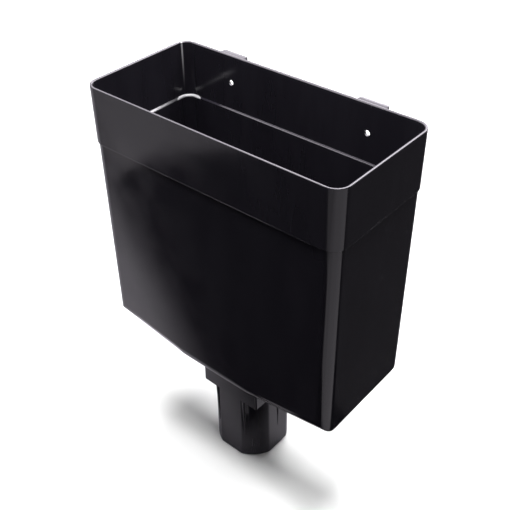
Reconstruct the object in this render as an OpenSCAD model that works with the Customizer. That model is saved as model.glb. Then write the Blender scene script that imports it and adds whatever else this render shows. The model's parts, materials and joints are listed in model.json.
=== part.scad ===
// Rainwater hopper head: an open-topped box that stands on a universal outlet spigot.
// The origin is on the outlet's axis at its lower end. +Z is up and +Y points to the wall.

/* [Rim and collar] */
// Width of the rim, left to right, outside
rim_w = 212; // [170:1:260]
// Depth of the rim, front to back, outside
rim_d = 98.8; // [86:0.2:130]
// Outside radius of the collar's upright corners
corner_r = 10.5; // [7:0.1:16]
// Height of the collar, from the rim to the step outside
collar_h = 43.5; // [40:0.5:65]
// Wall of the collar, whose top edge is a full round
collar_wall = 2; // [1.6:0.1:3]

/* [Body] */
// How far the body's walls stand in from the collar
step_in = 1.1; // [0.6:0.1:1.5]
// Thickness of the web between the outside step and the inside ledge
ledge_web = 1.1; // [0.8:0.1:3]
// Wall of the body and of its floor
body_wall = 2.5; // [2:0.1:3.2]
// Height of the body, from the flat of the floor outside to the step
body_h = 171; // [110:0.5:230]
// Angle at which the floor falls from each end to its flat middle
floor_fall = 9; // [4:0.5:15]
// Width of the flat middle of the floor
floor_flat_w = 67; // [60:1:95]
// Outside radius between the floor and the long walls
floor_r = 13; // [6:0.5:16]

/* [Outlet] */
// How far the outlet's axis lies in front of the middle of the box
outlet_forward = 2.9; // [0:0.1:10]
// Side of the square shoulder block, and across the spigot's flats
outlet_side = 55; // [52:0.2:58]
// Diameter of the circle that cuts the spigot's corners
outlet_dia = 59; // [57:0.2:63]
// Wall of the shoulder block and of the spigot
outlet_wall = 2.3; // [1.8:0.1:3]
// Height of the shoulder block under the flat of the floor
shoulder_h = 30.5; // [15:0.5:60]
// Radius of the shoulder block's upright edges
shoulder_r = 1.4; // [0.5:0.1:1.7]
// Length of the spigot under the shoulder block
spigot_len = 66; // [50:1:100]
// Chamfer round the spigot's lower end
lead_in = 1; // [0.4:0.1:1.5]
// Angle from the tapering rib on each side flat to the ribs on the round corners
rib_angle = 62; // [45:1:66]
// Radius of each rib where it meets the shoulder, which is how far it stands out
rib_r = 1.8; // [1:0.1:2]
// Radius of each rib at its lower tip
rib_tip_r = 0.3; // [0.2:0.1:0.6]
// Length of the ribs
rib_len = 41; // [20:1:48]

/* [Fixing] */
// Distance between the two fixing holes
fixing_spacing = 119; // [85:1:130]
// Distance of the fixing holes below the rim
fixing_drop = 21.2; // [17:0.2:28]
// Diameter of the fixing holes
fixing_dia = 4.2; // [3.6:0.1:8]
// Width of the hollow stand-off behind each fixing hole
standoff_w = 22.5; // [17:0.5:30]
// How far the stand-offs project behind the collar
standoff_d = 5; // [4:0.5:12]
// Height of the stand-offs
standoff_h = 38; // [32:0.5:39]
// Distance of the stand-offs' tops below the straight part of the collar's wall
standoff_drop = 0; // [0:0.1:3]
// Wall of the stand-offs
standoff_wall = 2; // [1.6:0.1:3]
// Radius of the stand-offs' outer edges, seen from above
standoff_r = 1.8; // [1:0.1:3]

/* [Hidden] */
$fn = 96;
// Overlap of cutters past the faces they open
cut = 1;
// Depth to which added features run into the walls that carry them
root = 0.8;

shoulder_z = spigot_len;
floor_z = shoulder_z + shoulder_h;
step_z = floor_z + body_h;
ledge_z = step_z + ledge_web;
rim_z = step_z + collar_h;
box_y = outlet_forward;
back_y = box_y + rim_d / 2;
body_w = rim_w - 2 * step_in;
body_d = rim_d - 2 * step_in;
body_r = corner_r - step_in;
rim_round = collar_wall / 2;
fixing_z = rim_z - fixing_drop;
standoff_top = rim_z - rim_round - standoff_drop;

// A rectangle in plan with round corners
module rounded_plan(w, d, r) {
    square([w, d - 2 * r], center = true);
    square([w - 2 * r, d], center = true);
    for (x = [-1, 1], y = [-1, 1])
        translate([x * (w / 2 - r), y * (d / 2 - r)]) circle(r);
}

// Section of the collar's wall, from its inside face at 0, with a round top edge
module collar_section() {
    square([collar_wall, collar_h - rim_round]);
    translate([rim_round, collar_h - rim_round]) circle(rim_round);
}

// One straight side of the collar, with its outside face at a distance along +X
module collar_side(out, len) {
    translate([out - collar_wall, len / 2, 0]) rotate([90, 0, 0]) linear_extrude(len) collar_section();
}

// The collar: its section carried round four sides and four corners
module collar() {
    side_x = rim_w / 2 - corner_r;
    side_y = rim_d / 2 - corner_r;
    translate([0, box_y, step_z]) {
        for (turn = [0, 180]) {
            rotate(turn) collar_side(rim_w / 2, 2 * side_y);
            rotate(turn + 90) collar_side(rim_d / 2, 2 * side_x);
        }
        for (corner = [[1, 1, 0], [-1, 1, 90], [-1, -1, 180], [1, -1, 270]])
            translate([corner.x * side_x, corner.y * side_y, 0]) rotate(corner.z)
                rotate_extrude(angle = 90) translate([corner_r - collar_wall, 0]) collar_section();
    }
}

// Section across a trough, open upwards: upright sides, a floor at 0 and a radius between them
module trough_section(d, r, h) {
    translate([-d / 2, r]) square([d, h - r]);
    translate([-d / 2 + r, 0]) square([d - 2 * r, h]);
    for (side = [-1, 1]) translate([side * (d / 2 - r), r]) circle(r);
}

// A long trough along X with its floor at the origin
module trough(d, r) {
    reach = 2 * (rim_w + body_h);
    translate([-reach / 2, 0, 0]) rotate([90, 0, 90]) linear_extrude(reach) trough_section(d, r, reach);
}

// The trough tilted so that its floor rises from the flat middle to one end
module falling_trough(side, inset, d, r) {
    translate([side * floor_flat_w / 2, box_y, floor_z]) rotate([0, -side * floor_fall, 0])
        translate([0, 0, inset]) trough(d, r);
}

// The body's bulk: a rounded box whose floor is flat in the middle and rises to both ends.
// inset is 0 for the outside and the wall's thickness for the inside.
module body_bulk(inset, top) {
    d = body_d - 2 * inset;
    r = floor_r - inset;
    intersection() {
        translate([0, box_y, floor_z]) linear_extrude(top - floor_z)
            rounded_plan(body_w - 2 * inset, d, body_r - inset);
        translate([0, box_y, floor_z + inset]) trough(d, r);
        falling_trough(-1, inset, d, r);
        falling_trough(1, inset, d, r);
    }
}

// A square bar with rounded upright edges
module shoulder_bar(side, r, bottom, top) {
    translate([0, 0, bottom]) linear_extrude(top - bottom) rounded_plan(side, side, r);
}

// Half profile of a bar with a chamfered lower end
module lead_in_profile(half, chamfer, bottom, top) {
    polygon([[0, bottom], [half - chamfer, bottom], [half, bottom + chamfer], [half, top], [0, top]]);
}

// A bar between two flats, across X
module flats_bar(side, chamfer, bottom, top) {
    for (x = [0, 1])
        mirror([x, 0, 0]) translate([0, side / 2, 0]) rotate([90, 0, 0]) linear_extrude(side)
            lead_in_profile(side / 2, chamfer, bottom, top);
}

// The spigot's bar: a square whose corners are cut by a circle, with a chamfered lower end
module spigot_bar(inset, chamfer, bottom, top) {
    side = outlet_side - 2 * inset;
    intersection() {
        flats_bar(side, chamfer, bottom, top);
        rotate(90) flats_bar(side, chamfer, bottom, top);
        rotate_extrude() lead_in_profile(outlet_dia / 2 - inset, chamfer, bottom, top);
    }
}

// Distance from the outlet's axis to the spigot's surface in a direction
function spigot_reach(angle) =
    min(outlet_dia / 2, outlet_side / 2 / max(abs(cos(angle)), abs(sin(angle))));

// A tapering rib on the spigot, half sunk in its wall: it centres the spigot in the pipe
module spigot_rib(angle) {
    rotate(angle) translate([spigot_reach(angle), 0, shoulder_z - rib_len])
        cylinder(r1 = rib_tip_r, r2 = rib_r, h = rib_len);
}

// A hollow stand-off on the back of the collar: two cheeks and a top, open behind and below
module standoff(x) {
    depth = standoff_d + root;
    hollow_w = standoff_w - 2 * standoff_wall;
    translate([x, back_y - root, standoff_top - standoff_h]) difference() {
        linear_extrude(standoff_h) {
            translate([-standoff_w / 2, 0]) square([standoff_w, depth - standoff_r]);
            translate([-standoff_w / 2 + standoff_r, 0]) square([standoff_w - 2 * standoff_r, depth]);
            for (side = [-1, 1])
                translate([side * (standoff_w / 2 - standoff_r), depth - standoff_r]) circle(standoff_r);
        }
        translate([-hollow_w / 2, root, -cut])
            cube([hollow_w, depth, standoff_h - standoff_wall + cut]);
    }
}

// A fixing hole through the back of the collar
module fixing_hole(x) {
    translate([x, back_y - collar_wall - cut, fixing_z])
        rotate([-90, 0, 0]) cylinder(d = fixing_dia, h = collar_wall + 2 * cut);
}

// One moulding: collar, body, shoulder block, spigot with its ribs, and stand-offs
module hopper_head() {
    color([0.03, 0.03, 0.035]) difference() {
        union() {
            collar();
            body_bulk(0, ledge_z);
            shoulder_bar(outlet_side, shoulder_r, shoulder_z, floor_z + root);
            spigot_bar(0, lead_in, 0, shoulder_z + root);
            for (half = [0, 180], angle = [-rib_angle, 0, rib_angle]) spigot_rib(half + angle);
            for (side = [-1, 1]) standoff(side * fixing_spacing / 2);
        }
        body_bulk(body_wall, ledge_z + cut);
        shoulder_bar(outlet_side - 2 * outlet_wall, shoulder_r, shoulder_z + outlet_wall, floor_z + body_wall + cut);
        spigot_bar(outlet_wall, 0, -cut, shoulder_z + outlet_wall + cut);
        for (side = [-1, 1]) fixing_hole(side * fixing_spacing / 2);
    }
}

hopper_head();
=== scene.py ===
import json
import math

import bmesh
import bpy
from mathutils import Matrix, Vector


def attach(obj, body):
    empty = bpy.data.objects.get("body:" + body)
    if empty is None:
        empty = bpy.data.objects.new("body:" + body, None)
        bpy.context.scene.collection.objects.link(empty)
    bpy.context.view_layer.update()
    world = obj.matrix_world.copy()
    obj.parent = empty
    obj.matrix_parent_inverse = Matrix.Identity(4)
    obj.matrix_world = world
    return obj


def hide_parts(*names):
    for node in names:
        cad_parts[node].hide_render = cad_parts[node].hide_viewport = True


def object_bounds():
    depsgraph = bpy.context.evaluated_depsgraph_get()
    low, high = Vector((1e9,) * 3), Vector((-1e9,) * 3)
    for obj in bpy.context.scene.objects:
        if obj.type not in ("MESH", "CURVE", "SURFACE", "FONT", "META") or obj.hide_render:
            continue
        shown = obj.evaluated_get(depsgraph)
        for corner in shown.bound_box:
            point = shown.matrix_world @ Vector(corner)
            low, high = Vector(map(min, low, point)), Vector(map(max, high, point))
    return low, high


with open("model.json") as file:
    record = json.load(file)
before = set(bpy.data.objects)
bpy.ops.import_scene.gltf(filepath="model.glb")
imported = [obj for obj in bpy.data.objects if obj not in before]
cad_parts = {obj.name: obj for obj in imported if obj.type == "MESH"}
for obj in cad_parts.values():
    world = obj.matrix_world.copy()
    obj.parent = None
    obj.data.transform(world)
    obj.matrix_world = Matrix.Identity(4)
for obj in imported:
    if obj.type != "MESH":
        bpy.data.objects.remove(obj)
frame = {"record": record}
cadLow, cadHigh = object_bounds()
mounts = {m["name"]: m for m in frame["record"]["mounts"]}
scene = bpy.context.scene
mm = 0.001
tiny = 1e-7      # what a cut treats as the same point
near = 1e-5      # what counts as the same height

# The hopper head, one moulding: sizes in metres, the overall ones read from the frame
hopper = {
    "collarHigh": 43.5 * mm,      # rim to step
    "collarWall": 2.0 * mm,
    "cornerRound": 10.5 * mm,     # outside of the collar, in plan
    "cornerSteps": 14,
    "floorRound": 13.0 * mm,      # outside, between the floor and the long walls
    "floorSteps": 16,
    "rimSteps": 12,
    "rimOut": (0.5 * mm, 0.5 * mm),   # the rim's round: width and height outside, then inside
    "rimIn": (1.5 * mm, 0.9 * mm),
    "stepIn": 1.1 * mm,
    "ledgeWeb": 1.1 * mm,
    "bodyWall": 2.5 * mm,
    "floorFlat": 67.0 * mm,
    "floorFall": math.radians(9),
    "outletSide": 55.0 * mm,
    "outletRound": 59.0 * mm,
    "outletWall": 2.3 * mm,
    "shoulderHigh": 30.5 * mm,
    "shoulderRound": 1.4 * mm,
    "spigotLong": 66.0 * mm,
    "spigotSteps": 16,            # facets on each round corner
    "leadIn": 1.0 * mm,
    "ribAngles": (0, 62, 118, 180, 242, 298),
    "ribTop": 1.8 * mm,
    "ribTip": 0.3 * mm,
    "ribLong": 41.0 * mm,
    "standoffWide": 22.5 * mm,
    "standoffDeep": 5.0 * mm,
    "standoffHigh": 38.0 * mm,
    "standoffWall": 2.0 * mm,
    "standoffRound": 1.4 * mm,
    "holeCell": 5.0 * mm,         # half of the square of wall that is remade round a fixing hole
    "holeSteps": 8,               # facets on each quarter of a fixing hole
    "sharp": math.radians(32),    # edges that turn by more than this are rounded
    "edgeRound": 0.3 * mm,        # the mould's own small radius on every sharp edge
    "ledgeRound": 0.9 * mm,       # on the lip of the ledge inside
    "stepRound": 0.6 * mm,        # on the collar's lower edge
    "holeRound": 0.05 * mm,
}
h = hopper

backY = cadHigh.y - h["standoffDeep"]
boxY = (cadLow.y + backY) / 2
rimHalf = Vector((cadHigh.x, (backY - cadLow.y) / 2))
core = rimHalf - Vector((1, 1)) * h["cornerRound"]   # every skin's corners turn about these points
rimZ = cadHigh.z
stepZ = rimZ - h["collarHigh"]
ledgeZ = stepZ + h["ledgeWeb"]
floorZ = h["spigotLong"] + h["shoulderHigh"]
bodyRound = h["cornerRound"] - h["stepIn"]
rimRound = h["collarWall"] / 2


def clamp(value, limit):
    return max(-limit, min(limit, value))


def partsOf(faces):
    # faces with their edges and corners, each once and in order, as the cutting tool wants them
    edges = dict.fromkeys(e for f in faces for e in f.edges)
    verts = dict.fromkeys(v for e in edges for v in e.verts)
    return [*faces, *edges, *verts]


def cutAlong(bm, keep, places, axis):
    # a line across the faces that keep() picks, at each place along an axis
    normal = Vector((0, 0, 0))
    normal[axis] = 1
    for place in places:
        geom = partsOf([f for f in bm.faces if keep(f)])
        bmesh.ops.bisect_plane(bm, geom=geom, plane_co=normal * place, plane_no=normal, dist=tiny)


def nearestFace(bm, point, normal):
    found = [f for f in bm.faces if f.normal.dot(Vector(normal)) > 0.9]
    return min(found, key=lambda f: (f.calc_center_median() - Vector(point)).length)


def skin(wall, outletWall, top, leadIn):
    # One skin of the body: a box with a falling floor, then the outlet's block and its spigot
    bm = bmesh.new()
    half = rimHalf - Vector((1, 1)) * (h["stepIn"] + wall)
    flat = floorZ + wall
    place = Matrix.Translation((0, boxY, (top + flat) / 2))
    stretch = Matrix.Diagonal((2 * half.x, 2 * half.y, top - flat, 1))
    bmesh.ops.create_cube(bm, size=1, matrix=place @ stretch)
    flatHalf = h["floorFlat"] / 2 - wall * math.tan(h["floorFall"] / 2)
    cutAlong(bm, lambda f: True, (-flatHalf, flatHalf), 0)
    for v in bm.verts:
        if v.co.z < flat + mm:
            v.co.z += max(0, abs(v.co.x) - flatHalf) * math.tan(h["floorFall"])
    floorLong = [e for e in bm.edges if abs(e.verts[0].co.x - e.verts[1].co.x) > mm
                 and max(v.co.z for v in e.verts) < top - mm]
    bmesh.ops.bevel(bm, geom=floorLong, offset=h["floorRound"] - wall, offset_type="OFFSET",
                    segments=h["floorSteps"], profile=0.5, affect="EDGES", material=-1)
    # the upright corners are cut facet by facet, each along a chord of its round
    for sx, sy in ((1, 1), (-1, 1), (-1, -1), (1, -1)):
        for i in range(h["cornerSteps"]):
            start, middle = (math.pi / 2 * (i + d) / h["cornerSteps"] for d in (0, 0.5))
            out = Vector((math.sin(start), math.cos(start))) * (bodyRound - wall) + core
            facing = (sx * math.sin(middle), sy * math.cos(middle), 0)
            cut = bmesh.ops.bisect_plane(bm, geom=partsOf(bm.faces[:]), dist=tiny, clear_outer=True,
                                         plane_co=(sx * out.x, boxY + sy * out.y, 0), plane_no=facing)
            edges = [e for e in cut["geom_cut"] if isinstance(e, bmesh.types.BMEdge)]
            bmesh.ops.edgeloop_fill(bm, edges=edges)
    bmesh.ops.remove_doubles(bm, verts=bm.verts[:], dist=0.02 * mm)
    bm.normal_update()
    lid = [f for f in bm.faces if f.normal.z > 0.9 and f.calc_center_median().z > top - mm]
    bmesh.ops.delete(bm, geom=lid, context="FACES")
    # the outlet's block, let down from a square in the floor
    side = h["outletSide"] / 2 - outletWall
    shoulder = h["spigotLong"] + outletWall
    square = nearestFace(bm, (0, boxY, flat), (0, 0, -1))
    bmesh.ops.inset_individual(bm, faces=[square], thickness=mm)
    for v in square.verts:
        v.co = math.copysign(side, v.co.x), math.copysign(side, v.co.y), flat
    square = bmesh.ops.extrude_discrete_faces(bm, faces=[square])["faces"][0]
    bmesh.ops.translate(bm, vec=(0, 0, shoulder - flat), verts=square.verts)
    corners = [e for v in square.verts for e in v.link_edges if e not in square.edges[:]]
    bmesh.ops.bevel(bm, geom=corners, offset=h["shoulderRound"], offset_type="OFFSET", segments=5,
                    profile=0.5, affect="EDGES", material=-1)
    # chords across the block's corners, bent to the spigot's circle, leave the shoulder under the block
    radius = h["outletRound"] / 2 - outletWall
    kink = math.sqrt(radius ** 2 - side ** 2)
    for sx, sy in ((1, 1), (-1, 1), (-1, -1), (1, -1)):
        end = nearestFace(bm, (0, 0, shoulder), (0, 0, -1))
        bmesh.ops.bisect_plane(bm, geom=partsOf([end]), plane_co=(sx * side, sy * kink, shoulder),
                               plane_no=(sx, sy, 0), dist=tiny)
    end = nearestFace(bm, (0, 0, shoulder), (0, 0, -1))
    chords = [e for e in end.edges if abs(e.verts[0].co.x - e.verts[1].co.x) > mm
              and abs(e.verts[0].co.y - e.verts[1].co.y) > mm]
    bent = bmesh.ops.subdivide_edges(bm, edges=chords, cuts=h["spigotSteps"] - 1)["geom_inner"]
    for v in bent:
        if isinstance(v, bmesh.types.BMVert):
            v.co *= radius / v.co.xy.length
            v.co.z = shoulder
    end = nearestFace(bm, (0, 0, shoulder), (0, 0, -1))
    end = bmesh.ops.extrude_discrete_faces(bm, faces=[end])["faces"][0]
    bmesh.ops.translate(bm, vec=(0, 0, leadIn - shoulder), verts=end.verts)
    if leadIn:
        bmesh.ops.inset_individual(bm, faces=[end], thickness=leadIn, depth=leadIn, use_even_offset=True)
    bmesh.ops.delete(bm, geom=[end], context="FACES_ONLY")
    return bm


def openEdges(bm, z):
    return [e for e in bm.edges if e.is_boundary and all(abs(v.co.z - z) < near for v in e.verts)]


def ringAt(bm, edges, radius, z):
    # the next ring of the wall: its corners turn at this radius, and it lies at this height
    made = bmesh.ops.extrude_edge_only(bm, edges=edges)["geom"]
    for v in made:
        if isinstance(v, bmesh.types.BMVert):
            centre = Vector((clamp(v.co.x, core.x), boxY + clamp(v.co.y - boxY, core.y)))
            out = (v.co.xy - centre).normalized() * radius
            v.co = centre.x + out.x, centre.y + out.y, z
    return [e for e in made if isinstance(e, bmesh.types.BMEdge)]


def addCollar(bm):
    # step, collar, round rim and the collar's inside, raised ring by ring from the body's open top
    ring = ringAt(bm, openEdges(bm, stepZ), h["cornerRound"], stepZ)
    ring = ringAt(bm, ring, h["cornerRound"], rimZ - h["rimOut"][1])
    for i in range(1, h["rimSteps"] + 1):
        turn = math.pi * i / h["rimSteps"]
        wide, high = h["rimOut"] if math.cos(turn) > 0 else h["rimIn"]
        ring = ringAt(bm, ring, h["cornerRound"] - h["rimOut"][0] + wide * math.cos(turn),
                      rimZ - high + high * math.sin(turn))
    ringAt(bm, ring, h["cornerRound"] - h["collarWall"], ledgeZ)


def onBackWall(f):
    middle = f.calc_center_median()
    return abs(f.normal.y) > 0.99 and middle.y > backY - 1.5 * h["collarWall"] and middle.z > ledgeZ


def addStandoffs(bm, holes, holeZ):
    # two hollow pads on the back: lines on the wall first, then cheeks and a top drawn out of it
    outer = h["standoffWide"] / 2
    inner = outer - h["standoffWall"]
    top = rimZ - rimRound
    across = [x + s * d for x in holes for s in (-1, 1) for d in (outer, inner, h["holeCell"])]
    cutAlong(bm, onBackWall, across, 0)
    cutAlong(bm, onBackWall, (top - h["standoffHigh"], top - h["standoffWall"],
                              holeZ - h["holeCell"], holeZ + h["holeCell"]), 2)
    for x in holes:
        drawn = []
        for f in bm.faces:
            middle = f.calc_center_median()
            away, below = abs(middle.x - x), top - middle.z
            if f.normal.y > 0.99 and onBackWall(f) and 0 < below < h["standoffHigh"] and away < outer:
                if away > inner or below < h["standoffWall"]:
                    drawn.append(f)
        made = bmesh.ops.extrude_face_region(bm, geom=drawn)["geom"]
        ends = [v for v in made if isinstance(v, bmesh.types.BMVert)]
        bmesh.ops.translate(bm, vec=(0, h["standoffDeep"], 0), verts=ends)
        corners = {v for v in ends if abs(abs(v.co.x - x) - outer) < near}
        cheeks = [e for e in bm.edges if all(v in corners for v in e.verts)]
        bmesh.ops.bevel(bm, geom=cheeks, offset=h["standoffRound"], offset_type="OFFSET", segments=5,
                        profile=0.5, affect="EDGES", material=-1)


def addHole(bm, x, z, radius):
    # a round hole through the back wall, from the square cell that the lines left on either face of it
    loops = []
    for y, way in ((backY, 1), (backY - h["collarWall"], -1)):
        cell = nearestFace(bm, (x, y, z), (0, way, 0))
        bmesh.ops.subdivide_edges(bm, edges=cell.edges[:], cuts=h["holeSteps"] - 1)
        cell = nearestFace(bm, (x, y, z), (0, way, 0))
        square = cell.edges[:]
        bmesh.ops.delete(bm, geom=[cell], context="FACES_ONLY")
        turned = Matrix.Translation((x, y, z)) @ Matrix.Rotation(math.pi / 2, 4, "X")
        made = bmesh.ops.create_circle(bm, segments=4 * h["holeSteps"], radius=radius, matrix=turned)
        loop = list(dict.fromkeys(e for v in made["verts"] for e in v.link_edges))
        bmesh.ops.bridge_loops(bm, edges=square + loop)
        loops += loop
    bmesh.ops.bridge_loops(bm, edges=loops)


def addRib(bm, angle):
    # a tapering rib, a cone half sunk in the spigot's wall
    c, s = math.cos(angle), math.sin(angle)
    reach = min(h["outletRound"] / 2, h["outletSide"] / 2 / max(abs(c), abs(s)))
    middle = h["spigotLong"] - h["ribLong"] / 2
    bmesh.ops.create_cone(bm, cap_ends=True, segments=24, radius1=h["ribTip"], radius2=h["ribTop"],
                          depth=h["ribLong"], matrix=Matrix.Translation((reach * c, reach * s, middle)))


def makeHopper():
    bm = skin(0, 0, stepZ, h["leadIn"])
    addCollar(bm)
    inside = skin(h["bodyWall"], h["outletWall"], ledgeZ, 0)
    bmesh.ops.reverse_faces(inside, faces=inside.faces[:])
    spare = bpy.data.meshes.new("insideSkin")
    inside.to_mesh(spare)
    inside.free()
    bm.from_mesh(spare)
    bpy.data.meshes.remove(spare)
    bmesh.ops.bridge_loops(bm, edges=openEdges(bm, ledgeZ))
    bmesh.ops.bridge_loops(bm, edges=openEdges(bm, 0))
    bm.normal_update()
    print("hopper: open edges after the skins are joined", sum(e.is_boundary for e in bm.edges))
    fixing = mounts["fixing_holes"]
    holeZ = fixing["pos_m"][2]
    holes = [s * fixing["dims"]["spacing_x_mm"] * mm / 2 for s in (-1, 1)]
    addStandoffs(bm, holes, holeZ)
    for x in holes:
        addHole(bm, x, holeZ, fixing["dims"]["hole_r_mm"] * mm)
    for angle in h["ribAngles"]:
        addRib(bm, math.radians(angle))
    bm.normal_update()
    # how much of the widest radius each sharp edge takes
    rounding = bm.edges.layers.float.new("bevel_weight_edge")
    for e in bm.edges:
        if e.calc_face_angle(0) > h["sharp"]:
            size = h["edgeRound"]
            for z, name in ((ledgeZ, "ledgeRound"), (stepZ, "stepRound")):
                if e.calc_face_angle_signed(0) > 0 and all(abs(v.co.z - z) < near for v in e.verts):
                    size = h[name]
            away = [min((v.co.xz - Vector((x, holeZ))).length for x in holes) for v in e.verts]
            if max(away) < 0.9 * h["holeCell"]:
                size = h["holeRound"]
            e[rounding] = size / h["ledgeRound"]
    print("hopper:", len(bm.faces), "faces, open edges", sum(e.is_boundary for e in bm.edges))
    mesh = bpy.data.meshes.new("hopperHead")
    bm.to_mesh(mesh)
    bm.free()
    mesh.polygons.foreach_set("use_smooth", [True] * len(mesh.polygons))
    piece = bpy.data.objects.new("hopperHead", mesh)
    scene.collection.objects.link(piece)
    bevel = piece.modifiers.new("edgeRound", "BEVEL")
    bevel.width = h["ledgeRound"]
    bevel.segments = 3
    bevel.limit_method = "WEIGHT"
    bevel.use_clamp_overlap = False
    level = piece.modifiers.new("flatFaces", "WEIGHTED_NORMAL")   # keeps the moulding's flats flat
    level.weight = 100
    level.keep_sharp = False
    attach(piece, "root")
    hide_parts("hopper_head")
    return piece


def toLinear(hexColour):
    # sRGB hex to linear RGBA
    parts = [int(hexColour[i:i + 2], 16) / 255 for i in (1, 3, 5)]
    return [c / 12.92 if c <= 0.04045 else ((c + 0.055) / 1.055) ** 2.4 for c in parts] + [1]


def addNode(tree, kind, inputs=None, **settings):
    # a node with its inputs, each a value or another node's socket, and its settings; gives its outputs
    node = tree.nodes.new(kind)
    for name, value in settings.items():
        setattr(node, name, value)
    for name, value in (inputs or {}).items():
        if isinstance(value, bpy.types.NodeSocket):
            tree.links.new(value, node.inputs[name])
        else:
            node.inputs[name].default_value = value
    return node.outputs


# PVC-U, injection moulded against a polished tool: blue-black with a wet gloss, a faint orange peel,
# slow ripples that bend its reflections, fine pale rubs at the rim and low on the spigot, and painted
# highlights up the back left corner inside and on the left end of the ledge
plastic = {
    "colour": "#25232a",
    "flowColour": "#29272e",
    "rubColour": "#4b494f",
    # painted highlight: the pale streak up the back left corner inside
    "highlightColour": "#d8d6da",
    # painted highlight: the pale left end of the ledge inside
    "ledgeHighlightColour": "#dedce0",
    "ior": 1.53,
    "rough": (0.11, 0.17),
    "rubAndHighlightRough": 0.3,                     # what a rub, and the painted highlight in the corner, add to it
    "peel": (1.4 * mm, 0.004 * mm),      # width and height
    "ripple": (30 * mm, 0.10 * mm),
    # noises: width across, length up the part, detail, where it starts and where it is full
    "noises": {
        "flow": (14 * mm, 70 * mm, 3.0, 0.35, 0.65),       # the way in which the mould filled
        "streaks": (0.45 * mm, 16 * mm, 1.0, 0.70, 0.76),  # fine scratches
        "patchy": (22 * mm, 22 * mm, 2.0, 0.42, 0.62),     # where the scratches gather
        "gloss": (18 * mm, 18 * mm, 3.0, 0.3, 0.7),
    },
    # limits along an axis: where each rub and each painted highlight starts and where it is full
    "limits": {
        "atRim": ("Z", rimZ - 5 * mm, rimZ - 0.5 * mm),
        "atSpigot": ("Z", 0.7 * h["spigotLong"], 0.1 * h["spigotLong"]),
        # the painted highlight in the corner grows towards the rim
        "upCorner": ("Z", ledgeZ - 5 * mm, rimZ),
        # the next six limits bound the painted highlight on the ledge's left end
        "overLedge": ("Z", ledgeZ - 1.6 * mm, ledgeZ - 0.8 * mm),
        "underLedge": ("Z", ledgeZ + 0.6 * mm, ledgeZ + 0.2 * mm),
        "leftEnd": ("X", -101 * mm, -101.5 * mm),
        "leftFront": ("Y", 46 * mm, -10 * mm),
        "leftBack": ("Y", -3 * mm, 6 * mm),
        "inside": ("X", -105.2 * mm, -104.6 * mm),
    },
    # spots in plan: middle, and the distances at which each starts and is full
    "spots": {
        "byCorner": ((-103.2 * mm, 45.4 * mm, 0), 1.0 * mm, 0),            # where the painted highlight runs up the back left corner inside
        "patch": ((-core.x, boxY + core.y, 0), 9.1 * mm, 8.6 * mm),        # the painted highlight on the ledge in that corner
    },
}


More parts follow.
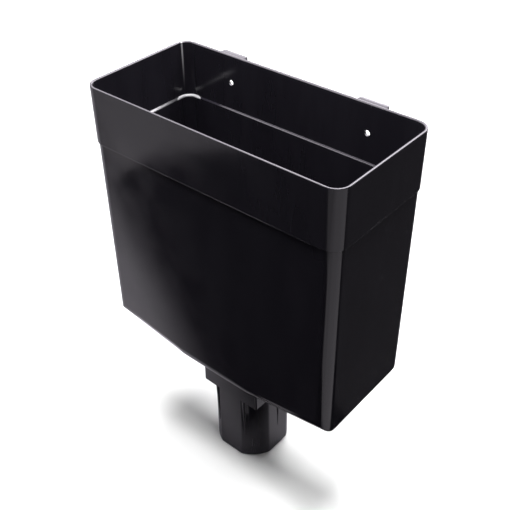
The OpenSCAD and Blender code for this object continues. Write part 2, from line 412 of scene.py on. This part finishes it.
def makePlastic():
    k = plastic
    material = bpy.data.materials.new("pvcuMouldedGlossBlack")
    material.use_nodes = True
    tree = material.node_tree
    shader = tree.nodes["Principled BSDF"]
    place = addNode(tree, "ShaderNodeTexCoord")["Object"]
    apart = addNode(tree, "ShaderNodeSeparateXYZ", {"Vector": place})
    # sources that are eased from 0 to 1 between two values
    bands = {name: (apart[axis], low, high) for name, (axis, low, high) in k["limits"].items()}
    for name, (across, along, detail, low, high) in k["noises"].items():
        scale = (1 / across, 1 / across, 1 / along)
        scaled = addNode(tree, "ShaderNodeMapping", {"Vector": place, "Scale": scale})["Vector"]
        noise = addNode(tree, "ShaderNodeTexNoise", {"Vector": scaled, "Scale": 1.0, "Detail": detail})
        bands[name] = (noise["Fac"], low, high)
    plan = addNode(tree, "ShaderNodeCombineXYZ", {"X": apart["X"], "Y": apart["Y"]})["Vector"]
    for name, (spot, low, high) in k["spots"].items():
        away = addNode(tree, "ShaderNodeVectorMath", {0: plan, 1: spot}, operation="DISTANCE")
        bands[name] = (away["Value"], low, high)
    share = {}
    for name, (value, low, high) in bands.items():
        limits = {"Value": value, "From Min": low, "From Max": high}
        share[name] = addNode(tree, "ShaderNodeMapRange", limits, interpolation_type="SMOOTHSTEP")["Result"]
    # rubs: thin streaks round the rim and down the spigot; painted highlights: the pale streak up the back
    # left corner inside, strongest at the rim, and the pale left end of the ledge
    for name, how, first, second in (
            ("worn", "MAXIMUM", "atRim", "atSpigot"),
            ("rub", "MULTIPLY", "streaks", "patchy"),
            ("rub", "MULTIPLY", "rub", "worn"),
            ("cornerHighlight", "MULTIPLY", "byCorner", "upCorner"),
            ("cornerHighlight", "MULTIPLY", "cornerHighlight", "upCorner"),
            ("left", "MULTIPLY", "leftEnd", "leftFront"),
            ("left", "MULTIPLY", "left", "leftBack"),
            ("left", "MAXIMUM", "left", "patch"),
            ("ledge", "MULTIPLY", "overLedge", "underLedge"),
            ("ledge", "MULTIPLY", "ledge", "inside"),
            ("ledge", "MULTIPLY", "ledge", "left"),
            ("rubsAndHighlight", "MAXIMUM", "rub", "cornerHighlight")):
        pair = {0: share[first], 1: share[second]}
        share[name] = addNode(tree, "ShaderNodeMath", pair, operation=how)[0]
    colour = toLinear(k["colour"])
    for name, tint in (("flow", "flowColour"), ("rub", "rubColour"), ("cornerHighlight", "highlightColour"),
                       ("ledge", "ledgeHighlightColour")):
        layers = {0: share[name], 6: colour, 7: toLinear(k[tint])}
        colour = addNode(tree, "ShaderNodeMix", layers, data_type="RGBA")[2]
    tree.links.new(colour, shader.inputs["Base Color"])
    low, high = k["rough"]
    sheen = addNode(tree, "ShaderNodeMapRange", {"Value": share["gloss"], "To Min": low, "To Max": high})
    roughening = {0: share["rubsAndHighlight"], 1: k["rubAndHighlightRough"], 2: sheen["Result"]}
    rough = addNode(tree, "ShaderNodeMath", roughening, operation="MULTIPLY_ADD")[0]
    tree.links.new(rough, shader.inputs["Roughness"])
    shader.inputs["IOR"].default_value = k["ior"]
    normal = addNode(tree, "ShaderNodeNewGeometry")["Normal"]
    for wide, high in (k["ripple"], k["peel"]):
        noise = addNode(tree, "ShaderNodeTexNoise", {"Vector": place, "Scale": 1 / wide, "Detail": 0.0})
        relief = {"Height": noise["Fac"], "Distance": high, "Normal": normal}
        normal = addNode(tree, "ShaderNodeBump", relief)["Normal"]
    tree.links.new(normal, shader.inputs["Normal"])
    return material


# Camera, fitted to the photograph's frame
shot = {
    "azimuth": math.radians(40.675),
    "elevation": math.radians(37.489),
    "roll": math.radians(-0.733),
    "distance": 0.59514,
    "target": Vector((0.002223, 0.002884, 0.189526)),
    "lens": 57.496,
    "sensor": 36.0,
}


def makeCamera():
    data = bpy.data.cameras.new("photoCamera")
    data.lens = shot["lens"]
    data.sensor_width = shot["sensor"]
    data.clip_start = 0.01
    camera = bpy.data.objects.new("photoCamera", data)
    scene.collection.objects.link(camera)
    a, e, r = shot["azimuth"], shot["elevation"], shot["roll"]
    back = Vector((math.sin(a) * math.cos(e), -math.cos(a) * math.cos(e), math.sin(e)))
    right = Vector((math.cos(a), math.sin(a), 0))
    up = back.cross(right)
    rolledRight = right * math.cos(r) + up * math.sin(r)
    rolledUp = up * math.cos(r) - right * math.sin(r)
    turn = Matrix((rolledRight, rolledUp, back)).transposed().to_4x4()
    camera.matrix_world = Matrix.Translation(shot["target"] + back * shot["distance"]) @ turn
    scene.camera = camera


# Studio: a pale floor, the white sheet and cards that the gloss mirrors, and soft lights
studio = {
    "floorColour": "#ffffff",
    "floorHalf": 1.3,
    "floorGlow": (0.6, 1.2),      # from here to here it lightens to the backdrop
    "sheetColour": "#aeaab1",
    "cardColour": "#fdf7ff",
    "sheetHalf": 0.8,
    "sheetFront": 51.7 * mm,      # from the outlet's axis towards the camera
    "sheetFacing": Vector((0.474, -0.880, 0)),
    "sheetFade": 24 * mm,         # how softly that edge falls into the dark
    "sheetRight": 130 * mm,
    "sheetUnder": 0.5 * mm,       # it lies under the floor, so that the floor's own light is even
    "backdrop": 1.0,
    # cards that show only in the gloss: corners in mm, brightness
    "cards": {
        "cornerCard": (((169, -122, -1), (741, -804, -1),
                        (200, 3, -1), (1025, 337, -1)), 0.72),
        "cornerFrontCard": (((112, -190, -1), (158, -330, -1),
                             (169, -122, -1), (741, -804, -1)), 0.6),
        "cornerFarCard": (((158, -330, -1), (-120, -680, -1),
                           (741, -804, -1), (700, -1100, -1)), 0.42),
        "nearCard": (((0, -108, -1), (40, -112, -1),
                      (-40, -50, -1), (40, -40, -1)), 0.5),
        "edgeCard": (((-190, -88, -0.3), (-105, -88, -0.3),
                      (-190, 30, -0.3), (-105, 30, -0.3)), 2.2),
        "rightCard": (((150, 60, -1), (600, 240, -1),
                       (150, 700, -1), (600, 700, -1)), 0.05),
        "rightBackCard": (((60, 190, -2), (192, 190, -2),
                           (60, 520, -2), (345, 520, -2)), 0.2),
        "farLeftCard": (((-800, -357, -1), (-406, -357, -1),
                         (-800, -290, -1), (-406, -290, -1)), 0.78),
        "farFrontCard": (((-800, -600, -1), (-240, -600, -1),
                          (-800, -357, -1), (-404, -357, -1)), 0.63),
        "leftLowCard": (((-900, -1600, 300), (-900, 1200, 300),
                         (-900, -1600, 900), (-900, 1200, 900)), 2.0),
        "leftCard": (((-900, -1600, 900), (-900, 1200, 900),
                      (-900, -1600, 1700), (-900, 1200, 1700)), 5.8),
        "backLowCard": (((-900, 1200, 300), (1400, 1200, 300),
                         (-900, 1200, 900), (1400, 1200, 900)), 2.5),
        "backCard": (((-900, 1200, 900), (600, 1200, 900),
                      (-900, 1200, 1700), (600, 1200, 1700)), 9.0),
        "backRightCard": (((600, 1200, 900), (1600, 1200, 900),
                           (600, 1200, 1700), (1600, 1200, 1700)), 4.0),
        "ceilingLeftCard": (((-900, -900, 1700), (-450, -900, 1700),
                             (-900, 1200, 1700), (-450, 1200, 1700)), 5.0),
        "ceilingCard": (((-450, -200, 1700), (600, -200, 1700),
                         (-450, 1200, 1700), (600, 1200, 1700)), 12.0),
    },
    # softboxes: place, size in metres, watts
    "lights": {
        "frontSoftbox": ((-0.15, -0.135, 1.4), (0.9, 0.45), 26),
        "backSoftbox": ((-0.15, 0.72, 1.35), (1.0, 0.45), 29.3),
        "rightSoftbox": ((0.8, 0.3, 1.2), (0.5, 0.5), 6),
        "fillSoftbox": ((0.0, -1.3, 0.45), (1.2, 0.8), 2.6),
    },
}


def stageCard(name, bm, material):
    mesh = bpy.data.meshes.new(name)
    bm.to_mesh(mesh)
    bm.free()
    mesh.materials.append(material)
    card = bpy.data.objects.new(name, mesh)
    scene.collection.objects.link(card)
    return card


def hide(card):
    # out of the camera's sight, but still in the gloss
    card.visible_camera = False
    card.visible_shadow = False
    card.visible_transmission = False


def glowCard(name, corners, strength):
    # a soft card that shows only in the gloss
    bm = bmesh.new()
    bmesh.ops.create_grid(bm, x_segments=1, y_segments=1, size=1)
    for v, corner in zip(bm.verts, corners):
        v.co = Vector(corner) * mm
    glow = bpy.data.materials.new(name)
    glow.use_nodes = True
    shader = glow.node_tree.nodes["Principled BSDF"]
    shader.inputs["Base Color"].default_value = (0, 0, 0, 1)
    shader.inputs["Specular IOR Level"].default_value = 0
    shader.inputs["Emission Color"].default_value = toLinear(studio["cardColour"])
    shader.inputs["Emission Strength"].default_value = strength
    card = stageCard(name, bm, glow)
    hide(card)
    card.visible_diffuse = False


def softbox(name, place, size, watts):
    lamp = bpy.data.lights.new(name, "AREA")
    lamp.shape = "RECTANGLE"
    lamp.size, lamp.size_y = size
    lamp.energy = watts
    light = bpy.data.objects.new(name, lamp)
    scene.collection.objects.link(light)
    light.location = place
    aim = Vector((0, -place[1], -place[2]))   # straight across, so that its long side lies along X
    light.rotation_euler = aim.to_track_quat("-Z", "Y").to_euler()
    light.visible_camera = False
    light.visible_glossy = False


def paper(name, colour):
    material = bpy.data.materials.new(name)
    material.use_nodes = True
    shader = material.node_tree.nodes["Principled BSDF"]
    shader.inputs["Base Color"].default_value = toLinear(colour)
    shader.inputs["Roughness"].default_value = 0.9
    shader.inputs["Specular IOR Level"].default_value = 0.0
    return material


def fadeOut(tree):
    # the sheet darkens softly towards its front edge
    place = addNode(tree, "ShaderNodeTexCoord")["Object"]
    front, fade = studio["sheetFront"], studio["sheetFade"]
    facing = {0: place, 1: studio["sheetFacing"]}
    across = addNode(tree, "ShaderNodeVectorMath", facing, operation="DOT_PRODUCT")["Value"]
    limits = {"Value": across, "From Min": front + fade, "From Max": front - fade}
    light = addNode(tree, "ShaderNodeMapRange", limits, interpolation_type="SMOOTHSTEP")["Result"]
    layers = {0: light, 6: (0, 0, 0, 1), 7: toLinear(studio["sheetColour"])}
    shade = addNode(tree, "ShaderNodeMix", layers, data_type="RGBA")[2]
    tree.links.new(shade, tree.nodes["Principled BSDF"].inputs["Base Color"])


def lighten(tree):
    # the floor glows far out, where the softboxes don't reach, and so meets the backdrop without an edge
    place = addNode(tree, "ShaderNodeTexCoord")["Object"]
    away = addNode(tree, "ShaderNodeVectorMath", {0: place}, operation="LENGTH")["Value"]
    start, full = studio["floorGlow"]
    limits = {"Value": away, "From Min": start, "From Max": full}
    glow = addNode(tree, "ShaderNodeMapRange", limits, interpolation_type="SMOOTHSTEP")
    shader = tree.nodes["Principled BSDF"]
    shader.inputs["Emission Color"].default_value = toLinear(studio["floorColour"])
    tree.links.new(glow["Result"], shader.inputs["Emission Strength"])


def makeStudio():
    bm = bmesh.new()
    bmesh.ops.create_grid(bm, x_segments=1, y_segments=1, size=studio["floorHalf"])
    ground = paper("mattWhiteFloor", studio["floorColour"])
    lighten(ground.node_tree)
    floor = stageCard("paleFloor", bm, ground)
    floor.visible_glossy = False
    floor.visible_diffuse = False
    floor.visible_shadow = False
    # the sheet under the part, cut along its front and its right edge
    bm = bmesh.new()
    bmesh.ops.create_grid(bm, x_segments=1, y_segments=1, size=studio["sheetHalf"],
                          matrix=Matrix.Translation((0, 0, -studio["sheetUnder"])))
    for normal, reach in ((studio["sheetFacing"], studio["sheetFront"] + studio["sheetFade"]),
                          (Vector((1, 0, 0)), studio["sheetRight"])):
        bmesh.ops.bisect_plane(bm, geom=partsOf(bm.faces[:]), plane_co=normal.normalized() * reach,
                               plane_no=normal, clear_outer=True)
    sheet = paper("mattWhitePaper", studio["sheetColour"])
    fadeOut(sheet.node_tree)
    hide(stageCard("whiteSheet", bm, sheet))
    for name, (corners, strength) in studio["cards"].items():
        glowCard(name, corners, strength)
    for name, (place, size, watts) in studio["lights"].items():
        softbox(name, place, size, watts)
    world = bpy.data.worlds.new("studio")
    scene.world = world
    world.use_nodes = True
    world.node_tree.nodes["Background"].inputs["Color"].default_value = (1, 1, 1, 1)
    world.node_tree.nodes["Background"].inputs["Strength"].default_value = studio["backdrop"]
    world.cycles_visibility.glossy = False
    world.cycles_visibility.diffuse = False
    scene.view_settings.view_transform = "Standard"


makeCamera()
print("camera set")
makeStudio()
print("studio set")
head = makeHopper()
head.data.materials.append(makePlastic())
print("hopper made")
